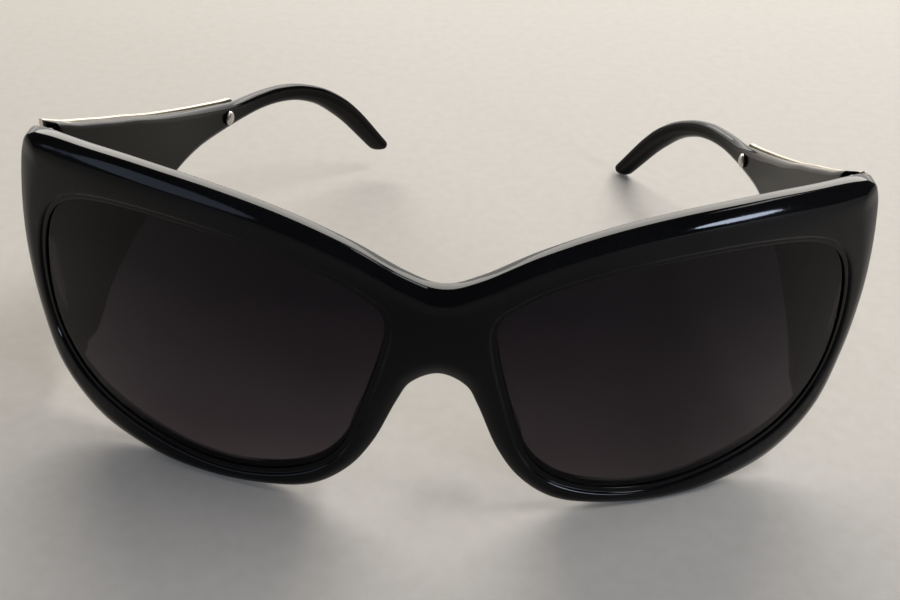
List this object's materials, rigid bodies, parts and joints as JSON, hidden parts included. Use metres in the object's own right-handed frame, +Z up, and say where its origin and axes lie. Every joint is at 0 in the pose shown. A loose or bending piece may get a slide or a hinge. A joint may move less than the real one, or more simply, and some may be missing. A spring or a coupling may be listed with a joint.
{
  "type": "oversized sunglasses",
  "caption": "Oversized wraparound sunglasses: a glossy butterfly front with gradient lenses and wide folding temples with metal trim plates.",
  "frame": {"origin": "under the middle of the part's box, on the table that the rims and a temple tip stand on", "axes": "+X towards the wearer's left, +Y from the front back along the temples (the front faces -Y), +Z up"},
  "size_m": [0.142, 0.131, 0.058],
  "materials": {
    "front": "polished black",
    "lens": "clear, tinted darker at the top",
    "pad": "smooth black",
    "temple": "glossy black outside, satin inside",
    "core": "drawn wire",
    "hinge": "satin",
    "pins": "satin",
    "screw": "polished",
    "bright_screw": "polished",
    "plate": "pale champagne, satin with a polished edge"
  },
  "bodies": {
    "front": {"front_frame": "front", "lens_left": "lens", "lens_right": "lens", "nose_pad_left": "pad", "nose_pad_right": "pad", "front_hinge_left": "hinge", "front_hinge_right": "hinge", "front_hinge_pins_left": "pins", "front_hinge_pins_right": "pins", "hinge_screw_left": "screw", "hinge_screw_right": "screw"},
    "temple_left": {"temple_left": "temple", "temple_core_left": "core", "temple_hinge_left": "hinge", "temple_hinge_rivets_left": "pins", "temple_plate_left": "plate", "plate_screw_left": "bright_screw"},
    "temple_right": {"temple_right": "temple", "temple_core_right": "core", "temple_hinge_right": "hinge", "temple_hinge_rivets_right": "pins", "temple_plate_right": "plate", "plate_screw_right": "bright_screw"}
  },
  "joints": [
    {"name": "temple_left_hinge", "type": "hinge", "parent": "front", "child": "temple_left", "pos_m": [0.0618, -0.03692, 0.04115], "axis": [0, 0, 1], "range_deg": [0, 75]},
    {"name": "temple_right_hinge", "type": "hinge", "parent": "front", "child": "temple_right", "pos_m": [-0.0618, -0.03692, 0.04115], "axis": [0, 0, -1], "range_deg": [-14.5, 71.5]}
  ]
}
